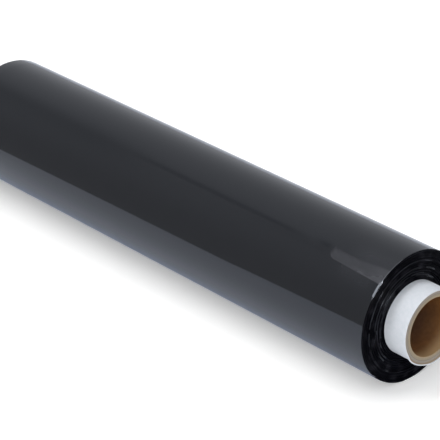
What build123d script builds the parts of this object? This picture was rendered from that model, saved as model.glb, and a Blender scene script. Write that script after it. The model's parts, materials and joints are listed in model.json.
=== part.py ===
"""Stretch wrap roll: black film wound on a paperboard tube that stands proud of the film at both ends.

The roll stands on one end of its tube. +Z runs along the tube, and the origin is the centre of the
lower end, on the surface that the roll stands on. All sizes are in millimetres.
"""
import os

from build123d import *

# Film, as it is wound
FILM_WIDTH = 500.0  # cut width of the web, along the roll
FILM_DIAMETER = 109.0  # over the outermost turn
RIM_ROUND = 1.0  # the outer turns relax, which rounds both rims

# Tube of spiral-wound paperboard
TUBE_BORE = 50.0
TUBE_WALL = 5.2
TUBE_PROJECTION = 21.4  # bare tube beyond the film, at each end

TUBE_DIAMETER = TUBE_BORE + 2 * TUBE_WALL
TUBE_LENGTH = FILM_WIDTH + 2 * TUBE_PROJECTION


def wall_section(inner_radius: float, outer_radius: float, low: float, high: float) -> Sketch:
    """Half section of a round wall, in the XZ plane, between two radii and two heights."""
    centre = Pos((inner_radius + outer_radius) / 2, (low + high) / 2)
    return Plane.XZ * centre * Rectangle(outer_radius - inner_radius, high - low)


def wound_film() -> Part:
    """All turns of the film as one ring, tight on the tube, with its two outer rims rounded."""
    section = wall_section(
        TUBE_DIAMETER / 2,
        FILM_DIAMETER / 2,
        TUBE_PROJECTION,
        TUBE_PROJECTION + FILM_WIDTH,
    )
    rims = section.vertices().sort_by(Axis.X)[-2:]
    return revolve(fillet(rims, RIM_ROUND), Axis.Z)


def paper_tube() -> Part:
    """The tube: one glued wall from end to end, cut square at both ends."""
    return revolve(wall_section(TUBE_BORE / 2, TUBE_DIAMETER / 2, 0, TUBE_LENGTH), Axis.Z)


os.makedirs("parts", exist_ok=True)

NODES = {
    "film_roll": wound_film(),
    "core": paper_tube(),
}

for node_name, solid in NODES.items():
    solid.label = node_name
    export_step(solid, f"parts/{node_name}.step")
    size = solid.bounding_box().size
    print(f"{node_name}: {solid.volume / 1000:.1f} cm3, {size.X:.1f} x {size.Y:.1f} x {size.Z:.1f} mm")
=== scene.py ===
"""Looks of a stretch wrap roll: glossy black film wound on a white-faced paperboard tube.

The roll stands on its tube, +Z up. The studio, though, is set out as if the roll lay on its side on a
white table: the table touches the film's side, and the lamps and the camera are placed from it.
"""
from __future__ import annotations

import json
import logging
import math
from dataclasses import dataclass
from enum import Enum
from typing import Any

import bmesh
import bpy
from mathutils import Matrix, Vector, noise


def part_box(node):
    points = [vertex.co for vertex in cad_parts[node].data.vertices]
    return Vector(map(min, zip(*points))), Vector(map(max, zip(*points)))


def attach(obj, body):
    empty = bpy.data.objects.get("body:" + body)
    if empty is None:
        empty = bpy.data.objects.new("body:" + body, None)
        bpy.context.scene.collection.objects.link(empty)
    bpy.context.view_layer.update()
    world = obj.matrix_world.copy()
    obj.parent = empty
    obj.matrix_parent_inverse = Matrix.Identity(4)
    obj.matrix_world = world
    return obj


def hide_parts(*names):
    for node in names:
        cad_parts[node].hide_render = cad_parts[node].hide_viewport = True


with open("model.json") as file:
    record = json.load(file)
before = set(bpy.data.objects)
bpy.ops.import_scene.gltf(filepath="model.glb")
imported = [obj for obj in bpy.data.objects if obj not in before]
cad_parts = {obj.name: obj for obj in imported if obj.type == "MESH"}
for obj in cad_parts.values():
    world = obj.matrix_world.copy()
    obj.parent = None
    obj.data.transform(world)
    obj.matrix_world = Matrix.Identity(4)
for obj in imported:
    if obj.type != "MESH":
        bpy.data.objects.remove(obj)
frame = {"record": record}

log = logging.getLogger("stretch_wrap_roll")

MM = 0.001
SAME = 1e-6  # metres; places closer than this are one place
BODY = "root"


# ---------------------------------------------------------------- shared helpers


def linear(hex_colour: str) -> tuple[float, float, float, float]:
    """Turns an sRGB hex colour into linear RGBA.

    Args:
        hex_colour: six hex digits, such as "1a1b1f".

    Returns:
        The linear colour, with alpha 1.
    """
    channels = [int(hex_colour[i : i + 2], 16) / 255 for i in (0, 2, 4)]
    toe = 0.04045
    red, green, blue = (
        c / 12.92 if c <= toe else ((c + 0.055) / 1.055) ** 2.4 for c in channels
    )
    return red, green, blue, 1.0


def add_node(
    tree: bpy.types.NodeTree, kind: str, inputs: dict[Any, Any] | None = None, **settings: Any
) -> bpy.types.Node:
    """Adds a node with its settings, values and links.

    Args:
        tree: the tree that gets the node.
        kind: Blender's name for the node type.
        inputs: socket name or number to a value, or to the output socket that feeds it.
        settings: properties of the node itself.

    Returns:
        The new node.
    """
    node = tree.nodes.new(kind)
    for name, value in settings.items():
        setattr(node, name, value)
    for key, value in (inputs or {}).items():
        if isinstance(value, bpy.types.NodeSocket):
            tree.links.new(value, node.inputs[key])
        else:
            node.inputs[key].default_value = value
    return node


def set_ramp(node: bpy.types.Node, stops: list[tuple[float, tuple[float, ...]]]) -> None:
    """Gives a colour ramp its stops.

    Args:
        node: the Color Ramp node.
        stops: positions from 0 to 1 with linear RGBA colours.
    """
    elements = node.color_ramp.elements
    while len(elements) > 1:
        elements.remove(elements[-1])
    elements[0].position, elements[0].color = stops[0]
    for position, colour in stops[1:]:
        elements.new(position).color = colour


def start_material(name: str) -> bpy.types.Material:
    """Makes a material with an empty node tree.

    Args:
        name: the material's name.

    Returns:
        The material.
    """
    material = bpy.data.materials.new(name)
    material.use_nodes = True
    material.node_tree.nodes.clear()
    return material


def axis_distance(tree: bpy.types.NodeTree, place: bpy.types.Node) -> bpy.types.Node:
    """Adds the nodes that measure how far a place is from the roll's axis.

    Args:
        tree: the node tree.
        place: its texture coordinate node.

    Returns:
        The node whose `Value` is the distance, metres.
    """
    level = {0: place.outputs["Object"], 1: (1.0, 1.0, 0.0)}
    flat = add_node(tree, "ShaderNodeVectorMath", level, operation="MULTIPLY")
    return add_node(tree, "ShaderNodeVectorMath", {0: flat.outputs[0]}, operation="LENGTH")


def close_surface(
    tree: bpy.types.NodeTree,
    colour: bpy.types.NodeSocket,
    relief: bpy.types.NodeSocket,
    strength: float,
    depth: float,
    gloss: tuple[float, float],
) -> None:
    """Joins a material's colour and relief into its surface.

    Args:
        tree: the node tree.
        colour: the socket that gives the colour.
        relief: the socket that gives the height.
        strength: how much of the relief shows, 0 to 1.
        depth: height of the relief, metres.
        gloss: roughness, then index of refraction.
    """
    height = {"Height": relief, "Strength": strength, "Distance": depth}
    bump = add_node(tree, "ShaderNodeBump", height)
    roughness, index = gloss
    look = {"Base Color": colour, "Roughness": roughness, "IOR": index, "Normal": bump.outputs[0]}
    shader = add_node(tree, "ShaderNodeBsdfPrincipled", look)
    add_node(tree, "ShaderNodeOutputMaterial", {"Surface": shader.outputs[0]})


def smoothstep(low: float, high: float, value: float) -> float:
    """Eases from 0 at low to 1 at high, which may be the smaller number."""
    t = min(1.0, max(0.0, (value - low) / (high - low)))
    return t * t * (3 - 2 * t)


@dataclass(frozen=True)
class Fade:
    """An ease from none of something to all of it."""

    none_at: float
    all_at: float

    def at(self, place: float) -> float:
        """How much there is at a place, 0 to 1."""
        return smoothstep(self.none_at, self.all_at, place)


@dataclass(frozen=True)
class Hump:
    """A smooth hump, such as the section of a groove or a ridge."""

    middle: float
    half_width: float

    def at(self, place: float) -> float:
        """Its height at a place: 1 in the middle, falling off both ways."""
        return math.exp(-(((place - self.middle) / self.half_width) ** 2))


def finish_piece(piece: bpy.types.Object, node: str) -> None:
    """Puts a piece on the model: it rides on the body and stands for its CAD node.

    Args:
        piece: the finished object.
        node: the CAD node that it replaces.
    """
    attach(piece, BODY)
    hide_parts(node)
    log.info("%s: %d vertices, %d faces", piece.name, len(piece.data.vertices), len(piece.data.polygons))


def mesh_object(
    name: str, shape: bmesh.types.BMesh, materials: list[bpy.types.Material]
) -> bpy.types.Object:
    """Turns a bmesh into an object with materials, and frees the bmesh.

    Args:
        name: the object's name.
        shape: the finished bmesh.
        materials: the materials, in the order of the faces' material numbers.

    Returns:
        The object, linked to the scene.
    """
    mesh = bpy.data.meshes.new(name)
    shape.to_mesh(mesh)
    shape.free()
    for material in materials:
        mesh.materials.append(material)
    piece = bpy.data.objects.new(name, mesh)
    bpy.context.scene.collection.objects.link(piece)
    return piece


def spun_wall(inner: float, outer: float, low: float, high: float, steps: int) -> bmesh.types.BMesh:
    """Spins a square-cornered section round Z into a closed round wall.

    Args:
        inner: inner radius, metres.
        outer: outer radius.
        low: height of the lower end.
        high: height of the upper end.
        steps: columns of faces round the wall.

    Returns:
        The wall.
    """
    shape = bmesh.new()
    places = ((inner, low), (outer, low), (outer, high), (inner, high))
    corners = [shape.verts.new((x, 0.0, z)) for x, z in places]
    section = [shape.edges.new((corners[i], corners[(i + 1) % 4])) for i in range(4)]
    bmesh.ops.spin(
        shape,
        geom=corners + section,
        cent=(0, 0, 0),
        axis=(0, 0, 1),
        angle=math.tau,
        steps=steps,
        use_merge=True,
    )
    bmesh.ops.remove_doubles(shape, verts=shape.verts, dist=SAME)
    return shape


def is_level(edge: bmesh.types.BMEdge) -> bool:
    """Whether both ends of an edge are at one height."""
    return abs(edge.verts[0].co.z - edge.verts[1].co.z) < SAME


def spread_out(edge: bmesh.types.BMEdge) -> float:
    """How much further from the axis one end of an edge is than the other, metres."""
    return abs(edge.verts[0].co.xy.length - edge.verts[1].co.xy.length)


def cut_across(shape: bmesh.types.BMesh, height: float) -> None:
    """Cuts a shape's faces along a level plane, and keeps both sides."""
    whole = shape.verts[:] + shape.edges[:] + shape.faces[:]
    bmesh.ops.bisect_plane(shape, geom=whole, plane_co=(0, 0, height), plane_no=(0, 0, 1))


# ---------------------------------------------------------------- the roll laid on its side


@dataclass(frozen=True)
class LaidDown:
    """Directions on the roll when it lies on the table.

    `up` is the side of the standing roll that is uppermost when it lies down, `along` runs to the end
    that shows, and `across` is to the right-hand side of them both, where the camera is.
    """

    end_face: float  # height of the film's upper end face on the standing roll, metres
    up_azimuth: float = 45.0  # degrees round from -Y towards +X

    @property
    def up(self) -> Vector:
        """The side that is uppermost."""
        angle = math.radians(self.up_azimuth)
        return Vector((math.sin(angle), -math.cos(angle), 0.0))

    @property
    def along(self) -> Vector:
        """The roll's own axis, towards the end that shows."""
        return Vector((0.0, 0.0, 1.0))

    @property
    def across(self) -> Vector:
        """Level, square to the roll, towards the camera's side."""
        return self.along.cross(self.up)

    def direction(self, along: float, up: float, across: float) -> Vector:
        """A direction from its three parts."""
        return self.along * along + self.up * up + self.across * across

    def point(self, along: float, up: float, across: float) -> Vector:
        """A point measured from the middle of the end face that shows."""
        return Vector((0.0, 0.0, self.end_face)) + self.direction(along, up, across)

    def angle(self, x: float, y: float) -> float:
        """Degrees round the roll from its uppermost line towards the camera's side, from -180 to 180."""
        spot = Vector((x, y, 0.0))
        return math.degrees(math.atan2(spot.dot(self.across), spot.dot(self.up)))


# ---------------------------------------------------------------- finishes


@dataclass(frozen=True)
class FilmSide:
    """Blown black polyethylene film, stretched tight over the roll: a smooth, wet-looking gloss."""

    name: str = "blown_black_film"
    colour: str = "19191a"
    haze_and_painted_sheen: str = "3b3b3e"  # where the film lies loose: rougher, and this lighter colour is a painted sheen
    tint: str = "e9f1ff"
    roughness: float = 0.07
    loose_roughness: float = 0.30
    index: float = 1.5
    die_line_mm: float = 2.6  # faint lines drawn round the roll by the blowing die
    die_line_length_mm: float = 500.0
    die_line_depth_mm: float = 0.004

    def material(self) -> bpy.types.Material:
        """Builds the material.

        The attribute read below is 0 in the groove at the cut tail, where painted shade takes the colour
        to black, 0.5 where the film clings and 1 where it lies loose, rougher and lightened by a painted
        sheen.

        Returns:
            The material.
        """
        material = start_material(self.name)
        tree = material.node_tree
        place = add_node(tree, "ShaderNodeTexCoord")
        # The lines run round the roll, so the pattern is fine along Z and coarse across it.
        coarse = 1 / (self.die_line_length_mm * MM)
        stretched = add_node(
            tree,
            "ShaderNodeMapping",
            {"Vector": place.outputs["Object"], "Scale": (coarse, coarse, 1 / (self.die_line_mm * MM))},
        )
        lines = add_node(
            tree, "ShaderNodeTexNoise", {"Vector": stretched.outputs[0], "Scale": 1.0, "Detail": 3.0}
        )
        bump = add_node(
            tree,
            "ShaderNodeBump",
            {"Height": lines.outputs[0], "Strength": 1.0, "Distance": self.die_line_depth_mm * MM},
        )
        cling_and_painted_light = add_node(tree, "ShaderNodeAttribute", attribute_name="cling_and_painted_light")
        # Painted light: 0 darkens the colour to black as painted shade, 1 pales it as a painted sheen.
        tone = add_node(tree, "ShaderNodeValToRGB", {"Fac": cling_and_painted_light.outputs["Fac"]})
        set_ramp(tone, [(0.0, (0, 0, 0, 1)), (0.5, linear(self.colour)), (1.0, linear(self.haze_and_painted_sheen))])
        gloss = add_node(
            tree,
            "ShaderNodeMapRange",
            {
                "Value": cling_and_painted_light.outputs["Fac"],
                "From Min": 0.5,
                "To Min": self.roughness,
                "To Max": self.loose_roughness,
            },
        )
        shader = add_node(
            tree,
            "ShaderNodeBsdfPrincipled",
            {
                "Base Color": tone.outputs["Color"],
                "Roughness": gloss.outputs[0],
                "IOR": self.index,
                "Specular Tint": linear(self.tint),
                "Normal": bump.outputs[0],
            },
        )
        add_node(tree, "ShaderNodeOutputMaterial", {"Surface": shader.outputs[0]})
        return material


@dataclass(frozen=True)
class FilmEdges:
    """The film's slit edges, hundreds of turns deep: nearly all light is lost between the turns.

    What comes back is a faint sheen from turns that stand proud, in fine broken rings.
    """

    name: str = "slit_film_edges"
    colour: str = "020206"
    pale: str = "2a2a30"
    ring_mm: float = 1.1  # bundles of turns that wander together; one turn alone is far too thin to show
    ring_depth_mm: float = 1.0
    wander_mm: float = 1.2  # how far a ring strays from its circle
    cloud_mm: float = 9.0
    roughness: float = 0.3
    index: float = 1.07  # the gaps between the turns make the surface a poor mirror

    def material(self) -> bpy.types.Material:
        """Builds the material from the distance to the roll's axis.

        Returns:
            The material.
        """
        material = start_material(self.name)
        tree = material.node_tree
        place = add_node(tree, "ShaderNodeTexCoord")
        radius = axis_distance(tree, place)
        # A slow noise round the face makes each ring come and go instead of running full circle.
        cloud = add_node(
            tree,
            "ShaderNodeTexNoise",
            {"Vector": place.outputs["Object"], "Scale": 1 / (self.cloud_mm * MM), "Detail": 3.0},
        )
        shifted = add_node(
            tree,
            "ShaderNodeMath",
            {0: cloud.outputs[0], 1: self.wander_mm * MM, 2: radius.outputs["Value"]},
            operation="MULTIPLY_ADD",
        )
        rings = add_node(
            tree,
            "ShaderNodeTexNoise",
            {"W": shifted.outputs[0], "Scale": 1 / (self.ring_mm * MM), "Detail": 3.0, "Roughness": 0.6},
            noise_dimensions="1D",
        )
        streak = add_node(
            tree,
            "ShaderNodeMath",
            {0: rings.outputs[0], 1: cloud.outputs[0]},
            operation="MULTIPLY",
        )
        shade = add_node(tree, "ShaderNodeValToRGB", {"Fac": streak.outputs[0]})
        set_ramp(shade, [(0.25, linear(self.colour)), (0.42, linear(self.pale))])
        close_surface(
            tree,
            colour=shade.outputs["Color"],
            relief=rings.outputs[0],
            strength=1.0,
            depth=self.ring_depth_mm * MM,
            gloss=(self.roughness, self.index),
        )
        return material


@dataclass(frozen=True)
class WhitePly:
    """Bleached, lightly calendered paper, glued on as the tube's outer ply: clean, cool white, half matt."""

    colour: str = "d2d6dd"
    shade: str = "cbd1d8"
    mottle_mm: float = 3.0
    fibre_mm: float = 0.35
    tooth_depth_mm: float = 0.02
    roughness: float = 0.55
    index: float = 1.48

    def material(self) -> bpy.types.Material:
        """Builds the material: cloudy fibre formation and a faint tooth.

        Returns:
            The material.
        """
        material = start_material("calendered_white_paper")
        tree = material.node_tree
        place = add_node(tree, "ShaderNodeTexCoord")
        cloud = add_node(
            tree,
            "ShaderNodeTexNoise",
            {"Vector": place.outputs["Object"], "Scale": 1 / (self.mottle_mm * MM), "Detail": 4.0},
        )
        tone = add_node(tree, "ShaderNodeValToRGB", {"Fac": cloud.outputs[0]})
        set_ramp(tone, [(0.35, linear(self.shade)), (0.65, linear(self.colour))])
        tooth = add_node(
            tree,
            "ShaderNodeTexNoise",
            {"Vector": place.outputs["Object"], "Scale": 1 / (self.fibre_mm * MM), "Detail": 2.0},
        )
        close_surface(
            tree,
            colour=tone.outputs["Color"],
            relief=tooth.outputs[0],
            strength=0.5,
            depth=self.tooth_depth_mm * MM,
            gloss=(self.roughness, self.index),
        )
        return material


@dataclass(frozen=True)
class CutBoard:
    """The sawn end of the tube: grey recycled board outside, tan kraft inside, in fine glued plies."""

    bore_radius: float  # metres
    wall: float  # metres
    edge: str = "85745f"
    outer: str = "8c847b"
    inner: str = "92856f"
    lip: str = "9f8d70"
    glue: str = "6b5f52"
    ply_mm: float = 0.55
    fibres_per_mm: float = 0.9
    tooth_depth_mm: float = 0.05
    roughness: float = 0.85
    index: float = 1.45

    def material(self) -> bpy.types.Material:
        """Builds the material from the distance to the tube's axis.

        Returns:
            The material.
        """
        material = start_material("sawn_board_plies")
        tree = material.node_tree
        place = add_node(tree, "ShaderNodeTexCoord")
        radius = axis_distance(tree, place)
        depth = add_node(
            tree,
            "ShaderNodeMapRange",
            {
                "Value": radius.outputs["Value"],
                "From Min": self.bore_radius,
                "From Max": self.bore_radius + self.wall,
            },
        )
        body = add_node(tree, "ShaderNodeValToRGB", {"Fac": depth.outputs[0]})
        # From the bore outwards, as shares of the wall.
        set_ramp(
            body,
            [
                (0.08, linear(self.lip)),
                (0.17, linear(self.inner)),
                (0.42, linear(self.inner)),
                (0.46, linear(self.glue)),
                (0.50, linear(self.outer)),
                (0.78, linear(self.outer)),
                (0.84, linear(self.edge)),
            ],
        )
        plies = add_node(
            tree,
            "ShaderNodeMath",
            {0: radius.outputs["Value"], 1: 2 * math.pi / (self.ply_mm * MM)},
            operation="MULTIPLY",
        )
        wave = add_node(tree, "ShaderNodeMath", {0: plies.outputs[0]}, operation="SINE")
        fibre = add_node(
            tree,
            "ShaderNodeTexNoise",
            {"Vector": place.outputs["Object"], "Scale": self.fibres_per_mm / MM, "Detail": 3.0},
        )
        line = add_node(
            tree,
            "ShaderNodeMath",
            {0: wave.outputs[0], 1: 0.5, 2: fibre.outputs[0]},
            operation="MULTIPLY_ADD",
        )
        glue = add_node(
            tree,
            "ShaderNodeMapRange",
            {"Value": line.outputs[0], "From Min": 0.55, "From Max": 1.0, "To Min": 0.0, "To Max": 0.45},
        )
        tone = add_node(
            tree,
            "ShaderNodeMix",
            {0: glue.outputs[0], 6: body.outputs["Color"], 7: linear(self.glue)},
            data_type="RGBA",
        )
        close_surface(
            tree,
            colour=tone.outputs[2],
            relief=line.outputs[0],
            strength=1.0,
            depth=self.tooth_depth_mm * MM,
            gloss=(self.roughness, self.index),
        )
        return material


@dataclass(frozen=True)
class KraftBore:
    """Brown kraft liner inside the tube: uncoated and a little mottled, with painted light that makes it
    paler at the two mouths.
    """

    tube_length: float  # metres
    colour: str = "8a5e30"
    shade: str = "7e5429"
    # painted light: the paler colour towards the mouths, and how far in from each end it reaches
    painted_mouth_light: str = "b89a70"
    mouth_light_mm: float = 15.0
    mottle_mm: float = 4.0
    tooth_depth_mm: float = 0.05
    roughness: float = 0.75
    index: float = 1.25  # loose fibres mirror less than solid paper would

    def material(self) -> bpy.types.Material:
        """Builds the material: soft brown clouds, with painted light that pales them towards the ends of the
        tube.

        Returns:
            The material.
        """
        material = start_material("kraft_liner")
        tree = material.node_tree
        place = add_node(tree, "ShaderNodeTexCoord")
        cloud = add_node(
            tree,
            "ShaderNodeTexNoise",
            {"Vector": place.outputs["Object"], "Scale": 1 / (self.mottle_mm * MM), "Detail": 5.0},
        )
        tone = add_node(tree, "ShaderNodeValToRGB", {"Fac": cloud.outputs[0]})
        set_ramp(tone, [(0.33, linear(self.shade)), (0.68, linear(self.colour))])
        # Painted light: the colour pales over the last stretch at each end, where light falls in at the
        # mouths.
        parts = add_node(tree, "ShaderNodeSeparateXYZ", {0: place.outputs["Object"]})
        half = self.tube_length / 2
        off_middle = add_node(tree, "ShaderNodeMath", {0: parts.outputs["Z"], 1: half}, operation="SUBTRACT")
        from_middle = add_node(tree, "ShaderNodeMath", {0: off_middle.outputs[0]}, operation="ABSOLUTE")
        mouth_light_share = add_node(
            tree,
            "ShaderNodeMapRange",
            {"Value": from_middle.outputs[0], "From Min": half - self.mouth_light_mm * MM, "From Max": half},
            interpolation_type="SMOOTHSTEP",
        )
        mouth_lit_tone = add_node(
            tree,
            "ShaderNodeMix",
            {0: mouth_light_share.outputs[0], 6: tone.outputs["Color"], 7: linear(self.painted_mouth_light)},
            data_type="RGBA",
        )
        close_surface(
            tree,
            colour=mouth_lit_tone.outputs[2],
            relief=cloud.outputs[0],
            strength=0.6,
            depth=self.tooth_depth_mm * MM,
            gloss=(self.roughness, self.index),
        )
        return material


# ---------------------------------------------------------------- the film


class FilmFace(Enum):
    """The film's finishes, and their material numbers."""

    SIDE = 0
    EDGES = 1
    PROUD_TURNS = 2


@dataclass(frozen=True)
class Tail:
    """The film's cut end: a straight edge along the roll, and its loose corner at the end that shows.

    Places along the roll are mm from the end that shows, and places across the edge are mm past it,
    negative on the outer turn. Places round the roll are degrees from its uppermost line.
    """

    angle: float = 34.3  # of the straight edge
    step_mm: float = 0.10  # a few turns' thickness, so that the edge shows

    groove: Hump = Hump(-1.6, 1.8)  # painted shade: the dark line beside the edge, the colour darkened towards black
    groove_begins: Fade = Fade(310.0, 240.0)
    groove_ends: Fade = Fade(78.0, 108.0)
    groove_shade: float = 0.60

    crease: Hump = Hump(2.9, 0.9)  # painted shade too, a second dark line beside the edge, on the turn under it
    crease_begins: Fade = Fade(160.0, 110.0)
    crease_shade: float = 0.30

    pucker_along: Hump = Hump(65.0, 7.0)  # painted shade: a darker patch where the loose corner pulls on the film that clings
    pucker_across: Hump = Hump(-3.2, 2.6)
    pucker_shade: float = 0.70

    far_shade_along: Fade = Fade(230.0, 350.0)  # painted shade: towards the far end the film's colour is darker
    far_shade_round: Hump = Hump(33.0, 12.5)
    far_shade: float = 0.50

    corner_mm: float = 58.0  # length of the loose corner
    corner_slope_mm: float = 5.0  # length of the slant at its far end
    corner_angles: tuple[float, float] = (39.4, 41.9)  # of its cut edge, far and near
    corner_top: tuple[float, float] = (30.6, 28.0)  # where its haze stops, far and near
    corner_top_runs: Fade = Fade(8.0, 34.0)
    corner_begins: Fade = Fade(58.0, 55.0)
    # These levels make the loose film rougher, which is real, and lighten its colour, which is a painted
    # sheen.
    haze_and_painted_sheen: float = 0.62
    haze_cloud: float = 0.10

    lip: Hump = Hump(0.0, 3.0)  # the cut edge itself stands off, and is hazier
    lip_begins: Fade = Fade(40.0, 22.0)
    lip_haze: float = 0.30
    curl: Fade = Fade(18.0, 3.0)  # so is the very corner
    curl_haze: float = 0.26

    veil_along: Fade = Fade(50.0, 22.0)  # the turn above the corner is a little loose too
    veil_round: Fade = Fade(8.0, 24.0)
    veil_haze: float = 0.23

    below: Hump = Hump(0.0, 9.0)  # and so is the turn under it
    below_begins: Fade = Fade(50.0, 36.0)
    below_ends: Fade = Fade(4.0, 14.0)
    below_haze: float = 0.09

    def edge(self, from_end: float) -> float:
        """Angle of the cut edge.

        Args:
            from_end: distance from the end that shows, mm.

        Returns:
            Degrees round from the uppermost line.
        """
        inside = max(0.0, self.corner_mm - from_end)
        slant = min(1.0, inside / self.corner_slope_mm) ** 0.7
        far, near = self.corner_angles
        reach = far + (near - far) * inside / self.corner_mm
        return self.angle + (reach - self.angle) * slant

    def painted_shade(self, past: float, angle: float, from_end: float) -> float:
        """How much shade is painted on the clinging film, as a darker colour.

        Args:
            past: distance round the roll from the cut edge, mm.
            angle: degrees round from the uppermost line.
            from_end: distance from the end that shows, mm.

        Returns:
            From 0 where no shade is painted to 1, the darkest, in the deepest groove.
        """
        # All four are painted shade that darkens the film's colour: the lines beside the cut edge, the patch
        # by the corner and the stretch towards the far end.
        main = self.groove_begins.at(from_end) * self.groove_ends.at(from_end)
        groove = self.groove_shade * main * self.groove.at(past)
        crease = self.crease_shade * self.crease_begins.at(from_end) * self.crease.at(past)
        pucker = self.pucker_shade * self.pucker_along.at(from_end) * self.pucker_across.at(past)
        tight = self.far_shade * self.far_shade_along.at(from_end) * self.far_shade_round.at(angle)
        return min(1.0, groove + crease + pucker + tight)

    def looseness_and_sheen(self, past: float, angle: float, from_end: float) -> float:
        """How loosely the corner's film lies: rougher there, and lightened by a painted sheen.

        Args:
            past: distance round the roll from the cut edge, mm.
            angle: degrees round from the uppermost line.
            from_end: distance from the end that shows, mm.

        Returns:
            From 0 where the film clings to 1 where it is haziest.
        """
        far_top, near_top = self.corner_top
        top = near_top + (far_top - near_top) * self.corner_top_runs.at(from_end)
        body = smoothstep(top - 2.0, top + 2.4, angle) * self.corner_begins.at(from_end)
        cloud = self.haze_cloud * noise.noise(Vector((past * 0.35, from_end * 0.16, 2.0)))
        lip = self.lip_haze * self.lip.at(past) * self.lip_begins.at(from_end)
        curl = self.curl_haze * self.curl.at(from_end)
        veil = self.veil_haze * self.veil_along.at(from_end) * self.veil_round.at(angle)
        return max(veil, body * min(1.0, self.haze_and_painted_sheen + cloud + lip + curl))

    def cling_and_painted_light(self, past: float, angle: float, from_end: float) -> float:
        """How the outer turn lies, with its painted light: 0 in the painted shade of a groove, 0.5 clinging,
        1 loose, rougher and with a painted sheen.

        Args:
            past: distance round the roll from the cut edge, mm.
            angle: degrees round from the uppermost line.
            from_end: distance from the end that shows, mm.

        Returns:
            The value of the film's `cling_and_painted_light` attribute.
        """
        if from_end > self.corner_mm:
            return 0.5 - 0.5 * self.painted_shade(past, angle, from_end)
        if past > 0:
            under = self.below.at(past) * self.below_begins.at(from_end) * self.below_ends.at(from_end)
            return 0.5 + self.below_haze * under
        return 0.5 + 0.5 * self.looseness_and_sheen(past, angle, from_end)


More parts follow.
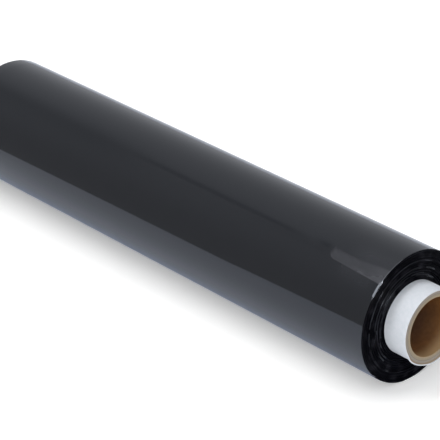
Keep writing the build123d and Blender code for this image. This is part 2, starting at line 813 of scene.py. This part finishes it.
@dataclass
class FilmRoll:
    """All turns of the film: rounded rims, ringed end faces, and the cut tail with its loose corner."""

    low: float
    high: float
    radius: float
    core_radius: float
    laid: LaidDown
    tail: Tail = Tail()
    segments: int = 360
    crowding: float = 0.80  # how strongly the columns gather at the tail
    rim_mm: float = 1.0
    rim_steps: int = 5
    face_rings: int = 60
    end_rows: int = 32
    body_rows: int = 34
    end_zone_mm: float = 66.0
    pressed_rim: tuple[float, float] = (39.5, 53.2)  # degrees; the rim is pressed flat under the corner
    pressed_mm: float = 2.25
    pressed_slope: float = 0.40
    pressed_narrows_mm: float = 0.35
    swell_mm: float = 0.8  # the outer turns spread a little on the side that the roll lies on
    swell_begins: Fade = Fade(145.0, 175.0)  # degrees
    swell_ends: Fade = Fade(215.0, 198.0)  # degrees
    swell_depth_mm: float = 12.0
    nick: Hump = Hump(134.0, 1.4)  # degrees; a small dent in the rim
    nick_mm: float = 1.1
    nick_depth_mm: float = 4.0
    bend_degrees: float = 60.0  # the columns straighten again this far from the tail
    sunk_mm: float = 0.90  # the faces' turns lie this far in, more or less, under the proud ones
    coarse_mm: float = 0.20
    fine_mm: float = 0.30
    drift_mm: float = 0.10
    proud_turns_mm: tuple[float, ...] = (3.4, 5.0, 6.9, 9.6, 15.4)  # outside the tube
    proud_mm: float = 0.85
    proud_half_mm: float = 0.55
    knocked_angle: float = 45.0  # the proud turns shine most on this side
    flank_tilt: float = 0.93  # a proud turn shines where it leans more than this
    side_tilt: float = 0.6  # the rim takes the side's finish this far round
    pressed_tilt: float = 0.95  # and further round where it is pressed flat

    def crowd(self, angle: float) -> float:
        """Moves a column of vertices towards the tail, so that the cut edge comes out crisp.

        Args:
            angle: degrees from the tail, -180 to 180.

        Returns:
            The crowded angle, in the same range.
        """
        t = angle / 180
        return 180 * ((1 - self.crowding) * t + self.crowding * t**3)

    def crowd_row(self, z: float) -> float:
        """Moves a row of vertices on the side towards the rim that shows, where the detail is finest."""
        below = (self.high - z) / MM - self.rim_mm
        length = self.end_zone_mm - self.rim_mm
        if not 0 < below < length:
            return z
        return self.high - (self.rim_mm + length * (below / length) ** 1.5) * MM

    def side_relief(self, turn: float, z: float) -> float:
        """Height of the side against the plain cylinder.

        Args:
            turn: degrees past the cut edge, 0 to 360.
            z: height on the standing roll, metres.

        Returns:
            The offset in metres, never above zero.
        """
        spiral = -self.tail.step_mm * (1 - turn / 360)
        gauge = 0.02 * (noise.noise(Vector((0.0, 3.0, z * 22))) - 1)
        return (spiral + gauge) * MM

    def rim_relief(self, angle: float, from_top: float) -> float:
        """How the rim of the end that shows is pressed in, nicked and swollen, against its even rounding.

        Args:
            angle: degrees round from the uppermost line, -180 to 180.
            from_top: distance from the end that shows, mm.

        Returns:
            The offset in metres.
        """
        if from_top > self.swell_depth_mm:
            return 0.0
        inside = max(0.0, self.rim_mm - from_top)
        rounding = self.rim_mm - math.sqrt(self.rim_mm**2 - inside**2)
        start, stop = self.pressed_rim
        begun = smoothstep(start - 1.5, start + 1.5, angle)
        ended = smoothstep(stop - 0.5, stop + 0.5, angle)
        width = self.pressed_mm - self.pressed_narrows_mm * smoothstep(start, stop, angle)
        flat = max(0.0, self.pressed_slope * (width - from_top) - rounding) * begun * (1 - ended)
        swell = self.swell_mm * self.swell_begins.at(angle % 360) * self.swell_ends.at(angle % 360)
        swell *= smoothstep(self.swell_depth_mm, 1, from_top)
        nick = self.nick_mm * max(0.0, 1 - from_top / self.nick_depth_mm) * self.nick.at(angle)
        return (swell - flat - nick) * MM

    def drift(self, x: float, y: float) -> float:
        """How far the turns stray sideways at a place on an end face, roughly -1 to 1."""
        return noise.noise(Vector((x * 30, y * 30, 5.0)))

    def face_relief(self, x: float, y: float, radius: float) -> float:
        """Depth of an end face under its flat plane, from bundles of turns that wander in and out.

        Args:
            x: place on the face, metres.
            y: place on the face, metres.
            radius: distance from the roll's axis, metres.

        Returns:
            The depth in metres, never below zero.
        """
        out = (radius - self.core_radius) / MM
        drift = self.drift(x, y)
        coarse = noise.noise(Vector((x * 14, y * 14, out / 2.4)))
        fine = noise.noise(Vector((x * 60, y * 60, out / 0.8 + 9)))
        depth = self.sunk_mm + self.coarse_mm * coarse + self.fine_mm * fine + self.drift_mm * drift
        for place in self.proud_turns_mm:
            ridge = Hump(place + 0.5 * drift, self.proud_half_mm).at(out)
            depth -= self.proud_mm * ridge * (0.75 + 0.5 * noise.noise(Vector((x * 22, y * 22, place))))
        edge = smoothstep(0.0, 1.2, out) * (1 - smoothstep(-1.6, 0.0, out - self.face_mm))
        return max(0.0, depth) * edge * MM

    def is_proud(self, x: float, y: float, radius: float) -> bool:
        """Whether a place on an end face lies on a turn that stands proud and shines there."""
        out = (radius - self.core_radius) / MM
        drift = self.drift(x, y)
        knocked = math.cos(math.radians(self.laid.angle(x, y) - self.knocked_angle))
        for place in self.proud_turns_mm:
            shine = noise.noise(Vector((x * 90, y * 90, 3 * place))) + 0.5 * knocked - 0.25
            if abs(out - place - 0.5 * drift) < 1.2 * self.proud_half_mm and shine > 0:
                return True
        return False

    @property
    def face_mm(self) -> float:
        """Width of an end face from the tube to where the rim starts to round."""
        return (self.radius - self.core_radius) / MM - self.rim_mm

    def shell(self) -> bmesh.types.BMesh:
        """Spins the ring of film, rounds its rims and cuts its faces into rings and rows.

        Returns:
            The closed ring, with even columns.
        """
        shape = spun_wall(self.core_radius, self.radius, self.low, self.high, self.segments)
        rims = [
            e
            for e in shape.edges
            if all(v.co.xy.length > self.radius - SAME for v in e.verts) and is_level(e)
        ]
        bmesh.ops.bevel(
            shape,
            geom=rims,
            offset=self.rim_mm * MM,
            affect="EDGES",
            segments=self.rim_steps,
            profile=0.5,
            material=-1,
        )
        radial = [e for e in shape.edges if is_level(e) and spread_out(e) > 5 * MM]
        bmesh.ops.subdivide_edges(shape, edges=radial, cuts=self.face_rings, use_grid_fill=True)
        cut = self.high - self.end_zone_mm * MM
        cut_across(shape, cut)
        for low, high, rows in ((cut - MM, self.high, self.end_rows), (self.low, cut + MM, self.body_rows)):
            uprights = [
                e
                for e in shape.edges
                if abs(e.verts[0].co.z - e.verts[1].co.z) > 10 * MM
                and min(v.co.z for v in e.verts) > low
                and max(v.co.z for v in e.verts) < high
                and e.verts[0].co.xy.length > self.core_radius + MM
            ]
            bmesh.ops.subdivide_edges(shape, edges=uprights, cuts=rows, use_grid_fill=True)
        return shape

    def shape_vertex(self, vertex: bmesh.types.BMVert, cling_and_painted_light: Any) -> None:
        """Moves one vertex of the plain ring to its place, and stores how the film lies there.

        Args:
            vertex: the vertex, still on the plain ring.
            cling_and_painted_light: the layer that takes the film's `cling_and_painted_light`.
        """
        x, y, z = vertex.co
        radius = vertex.co.xy.length
        rim_start = self.radius - self.rim_mm * MM
        z = self.crowd_row(z) if radius > self.radius - SAME else z
        from_top = (self.high - z) / MM
        from_end = min(from_top, (z - self.low) / MM)
        crowded = self.crowd((self.laid.angle(x, y) - self.tail.angle + 180) % 360 - 180)
        edge = self.tail.edge(from_top)
        # The columns bend with the tail's edge and straighten again away from it.
        outward = smoothstep(self.core_radius, rim_start, radius)
        bend = (edge - self.tail.angle) * (1 - smoothstep(0, self.bend_degrees, abs(crowded))) * outward
        angle = (self.tail.angle + crowded + bend + 180) % 360 - 180
        past_mm = math.radians(crowded) * self.radius / MM
        direction = self.laid.direction(0.0, math.cos(math.radians(angle)), math.sin(math.radians(angle)))
        vertex[cling_and_painted_light] = 0.5
        if radius > rim_start + SAME:
            turn = crowded % 360 if abs(crowded) > 1e-3 else 360.0
            relief = self.side_relief(turn, z) * smoothstep(rim_start, self.radius, radius)
            radius += relief + self.rim_relief(angle, from_top)
            vertex[cling_and_painted_light] = self.tail.cling_and_painted_light(past_mm, angle, from_top)
        elif from_end < 1e-3 and radius > self.core_radius + 0.1 * MM:
            depth = self.face_relief(direction.x * radius, direction.y * radius, radius)
            z += depth if z < (self.low + self.high) / 2 else -depth
        vertex.co = Vector((direction.x * radius, direction.y * radius, z))

    def finish_of(self, face: bmesh.types.BMFace) -> FilmFace:
        """Which finish a face of the mesh takes.

        Args:
            face: a face of the finished shape.

        Returns:
            The side's film where the face looks outwards enough, and the film's edges elsewhere.
        """
        middle = face.calc_center_median()
        tilt = abs(face.normal.z)
        rim_start = self.radius - self.rim_mm * MM
        if middle.xy.length < rim_start:
            proud = self.is_proud(middle.x, middle.y, middle.xy.length)
            return FilmFace.PROUD_TURNS if proud and tilt < self.flank_tilt else FilmFace.EDGES
        start, stop = self.pressed_rim
        pressed = start - 1 < self.laid.angle(middle.x, middle.y) < stop
        limit = self.pressed_tilt if pressed else self.side_tilt
        return FilmFace.SIDE if tilt < limit else FilmFace.EDGES

    def build(self) -> bpy.types.Object:
        """Builds the roll of film.

        Returns:
            The finished object.
        """
        shape = self.shell()
        cling_and_painted_light = shape.verts.layers.float.new("cling_and_painted_light")
        for vertex in shape.verts:
            self.shape_vertex(vertex, cling_and_painted_light)
        bmesh.ops.recalc_face_normals(shape, faces=shape.faces)
        for face in shape.faces:
            face.smooth = True
            face.material_index = self.finish_of(face).value
        finishes = [
            FilmSide().material(),
            FilmEdges().material(),
            FilmSide(name="proud_film_turns", colour="08080b", roughness=0.24, index=1.34).material(),
        ]
        return mesh_object("film_roll_wound", shape, finishes)


# ---------------------------------------------------------------- the tube


class TubeFace(Enum):
    """The tube's three finishes, and their material numbers."""

    OUTSIDE = 0
    END = 1
    BORE = 2


@dataclass
class PaperTube:
    """The spiral-wound tube: white outer ply, sawn ends, kraft bore, and one end a little frayed."""

    low: float
    high: float
    radius: float
    bore: float
    laid: LaidDown
    segments: int = 192
    edge_mm: float = 0.25
    ply_mm: float = 0.75
    end_rings: int = 10
    row_depths_mm: tuple[float, ...] = (0.8, 1.6, 3.0, 5.0)
    lip_mm: float = 0.55  # the saw pushes the liner's edge in
    lip_depth_mm: float = 1.6
    fray_mm: tuple[float, float] = (1.4, 1.3)  # the outer plies fan out, then fan out further on
    fray_begins: Fade = Fade(118.0, 136.0)  # degrees
    fray_grows: Fade = Fade(160.0, 188.0)  # degrees
    fray_ends: Fade = Fade(265.0, 225.0)  # degrees
    fray_depth_mm: float = 5.0

    def shell(self) -> bmesh.types.BMesh:
        """Spins the wall, breaks its sharp edges and cuts the ends into rings and rows.

        Returns:
            The closed tube, round and square-ended.
        """
        shape = spun_wall(self.bore, self.radius, self.low, self.high, self.segments)
        hoops = [e for e in shape.edges if is_level(e) and spread_out(e) < SAME]
        bmesh.ops.bevel(
            shape,
            geom=hoops,
            offset=self.edge_mm * MM,
            affect="EDGES",
            segments=2,
            profile=0.5,
            material=-1,
        )
        radial = [e for e in shape.edges if spread_out(e) > 2 * MM]
        bmesh.ops.subdivide_edges(shape, edges=radial, cuts=self.end_rings, use_grid_fill=True)
        for depth_mm in self.row_depths_mm:
            cut_across(shape, self.high - depth_mm * MM)
        return shape

    def fray(self, vertex: bmesh.types.BMVert) -> None:
        """Pushes the liner's lip in, and fans the outer plies out at the end that shows.

        Args:
            vertex: a vertex of the plain tube.
        """
        x, y, z = vertex.co
        radius = vertex.co.xy.length
        share = (radius - self.bore) / (self.radius - self.bore)
        from_top = (self.high - z) / MM
        lip = -self.lip_mm * (1 - share) ** 3 * smoothstep(self.lip_depth_mm, 0.0, from_top)
        angle = self.laid.angle(x, y) % 360
        first, further = self.fray_mm
        spread = first * self.fray_begins.at(angle) + further * self.fray_grows.at(angle)
        spread *= self.fray_ends.at(angle) * smoothstep(self.fray_depth_mm, 0.0, from_top)
        grown = 1 + (lip + spread * max(0.0, share) ** 2) * MM / radius
        vertex.co.x *= grown
        vertex.co.y *= grown

    def build(self) -> bpy.types.Object:
        """Builds the tube.

        Returns:
            The finished object.
        """
        shape = self.shell()
        bmesh.ops.recalc_face_normals(shape, faces=shape.faces)
        for face in shape.faces:
            radius = face.calc_center_median().xy.length
            upright = abs(face.normal.z) < 0.5
            if upright:
                kind = TubeFace.OUTSIDE if radius > (self.bore + self.radius) / 2 else TubeFace.BORE
            else:
                kind = TubeFace.OUTSIDE if radius > self.radius - self.ply_mm * MM else TubeFace.END
            face.material_index = kind.value
            face.smooth = upright
        for vertex in shape.verts:
            self.fray(vertex)
        materials = [
            WhitePly().material(),
            CutBoard(bore_radius=self.bore, wall=self.radius - self.bore).material(),
            KraftBore(tube_length=self.high - self.low).material(),
        ]
        return mesh_object("core_tube", shape, materials)


# ---------------------------------------------------------------- studio


@dataclass(frozen=True)
class Softbox:
    """A soft lamp: where it hangs, as seen from the roll, and how bright its cloth is."""

    name: str
    direction: tuple[float, float, float]  # along, up and across
    width: float  # along the roll, metres
    height: float
    radiance: float
    in_gloss: bool  # whether glossy surfaces mirror it
    in_diffuse: bool = True  # whether it lights matt surfaces
    away: float = 1.5
    aim: float = -0.15  # the point on the axis that it faces, from the end face


@dataclass
class Studio:
    """White table, pale surroundings, lamps and camera, all placed from the roll as it lies."""

    laid: LaidDown
    roll_radius: float
    lens: float = 178.8
    aim_along: float = -0.2183
    aim_across: float = -0.0015
    heading: float = 42.24
    elevation: float = 26.79
    distance: float = 1.8037
    paper_white: float = 0.90
    table_glow: float = 0.30  # the light that comes through the paper from below it
    mirrored_glow: tuple[float, float, float] = (0.04, 0.085, 0.185)  # the same, as the film mirrors it
    room_tint: tuple[float, float, float] = (0.97, 1.0, 1.07)  # the room, as things mirror it
    bright_angle: float = -45.0  # degrees round from up; the side that the room is brightest on

    def camera(self) -> bpy.types.Object:
        """Places the camera: level with the table's edge, looking down on the roll from its end."""
        data = bpy.data.cameras.new("camera")
        data.lens = self.lens
        data.sensor_width = 36.0
        heading, elevation = math.radians(self.heading), math.radians(self.elevation)
        back = self.laid.direction(
            math.cos(elevation) * math.cos(heading),
            math.sin(elevation),
            math.cos(elevation) * math.sin(heading),
        )
        aim = self.laid.point(self.aim_along, 0.0, self.aim_across)
        right = self.laid.up.cross(back).normalized()
        rise = back.cross(right)
        camera = bpy.data.objects.new("camera", data)
        turned = Matrix((right, rise, back)).transposed().to_4x4()
        camera.matrix_world = Matrix.Translation(aim + back * self.distance) @ turned
        bpy.context.scene.collection.objects.link(camera)
        bpy.context.scene.camera = camera
        return camera

    def table(self) -> bpy.types.Object:
        """Makes the table's top: white from the roll's side, clear from below."""
        outline = [
            (-3.0, -3.0),
            (0.8, -3.0),
            (0.8, 0.46),
            (-0.20, 0.33),
            (-0.30, 0.21),
            (-0.60, 0.15),
            (-3.0, -0.2),
        ]
        shape = bmesh.new()
        corners = [shape.verts.new(self.laid.point(a, -self.roll_radius, c)) for a, c in outline]
        face = shape.faces.new(corners)
        face.normal_update()
        if face.normal.dot(self.laid.up) < 0:
            face.normal_flip()
        table = mesh_object("table_top", shape, [self.table_paper()])
        return table

    def table_paper(self) -> bpy.types.Material:
        """White background paper that only shows from above.

        Returns:
            The material.
        """
        material = start_material("background_paper")
        tree = material.node_tree
        side = add_node(tree, "ShaderNodeNewGeometry")
        paper = add_node(tree, "ShaderNodeBsdfDiffuse", {"Color": (self.paper_white,) * 3 + (1.0,)})
        ray = add_node(tree, "ShaderNodeLightPath")
        seen = (self.table_glow,) * 3 + (1.0,)
        hue = add_node(
            tree,
            "ShaderNodeMix",
            {0: ray.outputs["Is Glossy Ray"], 6: seen, 7: self.mirrored_glow + (1.0,)},
            data_type="RGBA",
        )
        glow = add_node(tree, "ShaderNodeEmission", {"Color": hue.outputs[2]})
        lit = add_node(tree, "ShaderNodeAddShader", {0: paper.outputs[0], 1: glow.outputs[0]})
        clear = add_node(tree, "ShaderNodeBsdfTransparent")
        mix = add_node(
            tree,
            "ShaderNodeMixShader",
            {0: side.outputs["Backfacing"], 1: lit.outputs[0], 2: clear.outputs[0]},
        )
        add_node(tree, "ShaderNodeOutputMaterial", {"Surface": mix.outputs[0]})
        return material

    def surroundings(self) -> None:
        """White backdrop behind everything; softer grey wherever light or reflections come from."""
        world = bpy.data.worlds.new("surroundings")
        bpy.context.scene.world = world
        world.use_nodes = True
        tree = world.node_tree
        tree.nodes.clear()
        place = add_node(tree, "ShaderNodeTexCoord")
        bright_side = math.radians(self.bright_angle)
        bright = self.laid.direction(0.0, math.cos(bright_side), math.sin(bright_side))
        toward = add_node(
            tree, "ShaderNodeVectorMath", {0: place.outputs["Generated"], 1: bright}, operation="DOT_PRODUCT"
        )
        share = add_node(
            tree, "ShaderNodeMapRange", {"Value": toward.outputs["Value"], "From Min": -1.0, "From Max": 1.0}
        )
        grey = add_node(tree, "ShaderNodeValToRGB", {"Fac": share.outputs[0]})
        steps = (
            (0.20, 0.375),
            (0.31, 0.42),
            (0.44, 0.485),
            (0.52, 0.52),
            (0.70, 0.55),
            (0.77, 0.64),
            (0.83, 0.64),
            (0.90, 0.61),
        )
        set_ramp(grey, [(spot, (level, level, level, 1.0)) for spot, level in steps])
        ray = add_node(tree, "ShaderNodeLightPath")
        # Reflections see the room a little cooler than its light falls.
        cool = add_node(
            tree,
            "ShaderNodeMix",
            {0: ray.outputs["Is Glossy Ray"], 6: (1.0, 1.0, 1.0, 1.0), 7: self.room_tint + (1.0,)},
            data_type="RGBA",
        )
        tinted = add_node(
            tree,
            "ShaderNodeVectorMath",
            {0: grey.outputs["Color"], 1: cool.outputs[2]},
            operation="MULTIPLY",
        )
        soft = add_node(tree, "ShaderNodeBackground", {"Color": tinted.outputs[0], "Strength": 1.0})
        white = add_node(tree, "ShaderNodeBackground", {"Color": (1, 1, 1, 1), "Strength": 1.0})
        mix = add_node(
            tree,
            "ShaderNodeMixShader",
            {0: ray.outputs["Is Camera Ray"], 1: soft.outputs[0], 2: white.outputs[0]},
        )
        add_node(tree, "ShaderNodeOutputWorld", {"Surface": mix.outputs[0]})

    def softbox(self, lamp: Softbox) -> bpy.types.Object:
        """Hangs a soft lamp that faces the roll.

        Args:
            lamp: what the lamp is and where it hangs.

        Returns:
            The lamp.
        """
        data = bpy.data.lights.new(lamp.name, "AREA")
        data.shape = "RECTANGLE"
        data.size, data.size_y = lamp.width, lamp.height
        data.energy = lamp.radiance * math.pi * lamp.width * lamp.height
        hung = bpy.data.objects.new(lamp.name, data)
        toward = self.laid.direction(*lamp.direction).normalized()
        side = self.laid.along.cross(toward).normalized()
        turned = Matrix((side.cross(toward), side, toward)).transposed().to_4x4()
        target = self.laid.point(lamp.aim, 0.0, 0.0)
        hung.matrix_world = Matrix.Translation(target + toward * lamp.away) @ turned
        hung.visible_camera = False
        hung.visible_glossy = lamp.in_gloss
        hung.visible_diffuse = lamp.in_diffuse
        bpy.context.scene.collection.objects.link(hung)
        return hung

    def build(self) -> None:
        """Sets out the whole studio."""
        view = bpy.context.scene.view_settings
        view.view_transform = "Standard"
        view.look = "None"
        self.camera()
        self.table()
        self.surroundings()
        for lamp in (
            Softbox("overhead", (-0.12, 0.96, 0.25), 0.3, 1.5, 8.0, in_gloss=False),
            Softbox("front_fill", (0.35, 0.42, 0.85), 1.0, 1.0, 2.2, in_gloss=False),
            Softbox("top_card", (0.15, 0.98, 0.02), 1.3, 1.05, 1.6, in_gloss=True, in_diffuse=False),
            Softbox("end_strip", (0.80, 0.42, 0.42), 0.8, 0.40, 52.0, in_gloss=True, in_diffuse=False),
            Softbox("key_strip", (0.26, 0.74, 0.62), 0.8, 0.85, 7.0, in_gloss=True, in_diffuse=False),
        ):
            self.softbox(lamp)


def main() -> None:
    """Builds the film, the tube and the studio, in that order."""
    logging.basicConfig(level=logging.INFO, format="%(name)s: %(message)s")
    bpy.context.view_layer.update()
    film_low, film_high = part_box("film_roll")
    tube_low, tube_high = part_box("core")
    mounts = {mount["name"]: mount for mount in frame["record"]["mounts"]}
    bore = mounts["core_bore"]["dims"]["r_mm"] * MM
    laid = LaidDown(end_face=film_high.z)

    film = FilmRoll(film_low.z, film_high.z, film_high.x, tube_high.x, laid)
    finish_piece(film.build(), "film_roll")
    tube = PaperTube(tube_low.z, tube_high.z, tube_high.x, bore, laid)
    finish_piece(tube.build(), "core")
    Studio(laid, film_high.x).build()

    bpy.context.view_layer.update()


if __name__ == "__main__":
    main()
